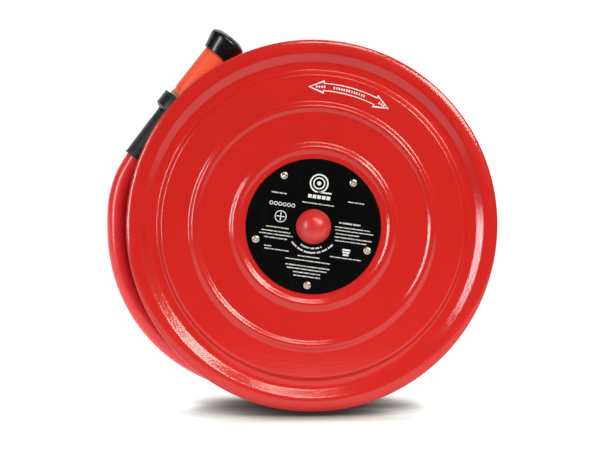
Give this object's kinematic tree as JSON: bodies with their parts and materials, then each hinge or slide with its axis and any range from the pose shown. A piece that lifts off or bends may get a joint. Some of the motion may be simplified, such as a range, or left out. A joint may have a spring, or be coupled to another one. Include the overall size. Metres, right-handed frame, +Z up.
{
  "type": "fire hose reel",
  "caption": "Wall-mounted fire hose reel: two pressed discs on a core turn on a hollow spindle and carry a coiled rubber hose with a twist nozzle.",
  "frame": {"origin": "centre of the wall bolt pattern on the wall plate's back face, on the reel's axis", "axes": "+X to the right seen from the front, +Y into the wall along the reel's axis, +Z up"},
  "size_m": [0.6209, 0.289, 0.6083],
  "materials": {
    "red_paint": "smooth gloss enamel, fire red",
    "brass": "machined and cast brass",
    "alloy": "fine sand-cast, machined faces",
    "zinc_steel": "bright zinc plate",
    "screw_zinc": "pale yellow zinc plate",
    "bush_plastic": "turned acetal",
    "seal_rubber": "matt black",
    "hose_rubber": "smooth red hose cover with a satin gloss",
    "label_black": "black plate, satin gloss, white print",
    "boss_red": "moulded, gloss",
    "nozzle_orange": "moulded, satin gloss",
    "nozzle_black": "moulded, gloss",
    "nut_black": "moulded, fine texture",
    "grip_rubber": "ribbed, matt",
    "ring_tan": "turned nylon"
  },
  "bodies": {
    "bracket": {"wall_plate": "red_paint", "support_bracket": "red_paint", "inlet_body": "brass", "inlet_bolts": "zinc_steel", "inlet_nuts": "zinc_steel", "thrust_washer": "bush_plastic", "axle_rod": "zinc_steel", "axle_washer": "zinc_steel", "axle_nut": "zinc_steel"},
    "valve": {"valve_sleeve": "brass", "valve_seals": "seal_rubber"},
    "drum": {"rear_disc": "red_paint", "front_disc": "red_paint", "core_panel_1": "red_paint", "core_panel_2": "red_paint", "core_panel_3": "red_paint", "core_panel_4": "red_paint", "core_panel_5": "red_paint", "hub_body": "alloy", "hub_cap": "alloy", "hub_cap_screws": "zinc_steel", "hub_bush_rear": "bush_plastic", "hub_bush_front": "bush_plastic", "hub_seals": "seal_rubber", "hub_bolts": "zinc_steel", "hub_nuts": "zinc_steel", "front_bearing_plate": "red_paint", "front_bush": "bush_plastic", "outlet_elbow": "brass", "outlet_grommet": "seal_rubber", "outlet_clamp": "zinc_steel", "label_plate": "label_black", "label_screws": "screw_zinc", "label_nuts": "zinc_steel", "rear_screws": "zinc_steel", "rear_nuts": "zinc_steel", "centre_boss": "boss_red", "hose_start": "hose_rubber", "hose_winding": "hose_rubber", "hose_outer_layer": "hose_rubber", "hose_tail": "hose_rubber", "hose_end": "hose_rubber", "nozzle_hose_barb": "brass", "nozzle_grip": "grip_rubber", "grip_ring": "zinc_steel", "coupling_nut": "nut_black", "nozzle_seal": "seal_rubber", "nozzle_base": "brass", "nozzle_thrust_ring": "ring_tan", "barrel_ring": "zinc_steel"},
    "nozzle_head": {"nozzle_barrel": "nozzle_orange", "nozzle_bumper": "nozzle_black"},
    "nozzle_plug": {"nozzle_stem": "alloy", "stem_seal": "seal_rubber"}
  },
  "joints": [
    {"name": "reel_spin", "type": "hinge", "parent": "bracket", "child": "drum", "pos_m": [0, 0, 0], "axis": [0, 1, 0], "continuous": true},
    {"name": "valve_slide", "type": "slide", "parent": "bracket", "child": "valve", "axis": [0, -1, 0], "range_m": [0, 0.014]},
    {"name": "nozzle_twist", "type": "hinge", "parent": "drum", "child": "nozzle_head", "pos_m": [-0.18149, -0.23, 0.23308], "axis": [0.6157, 0, 0.788], "range_deg": [0, 270]},
    {"name": "plug_slide", "type": "slide", "parent": "drum", "child": "nozzle_plug", "axis": [-0.6157, 0, -0.788], "range_m": [0, 0.009]}
  ],
  "couplings": [
    {"joint": "plug_slide", "follows": "nozzle_twist", "m_per_rad": 0.0019099}
  ]
}
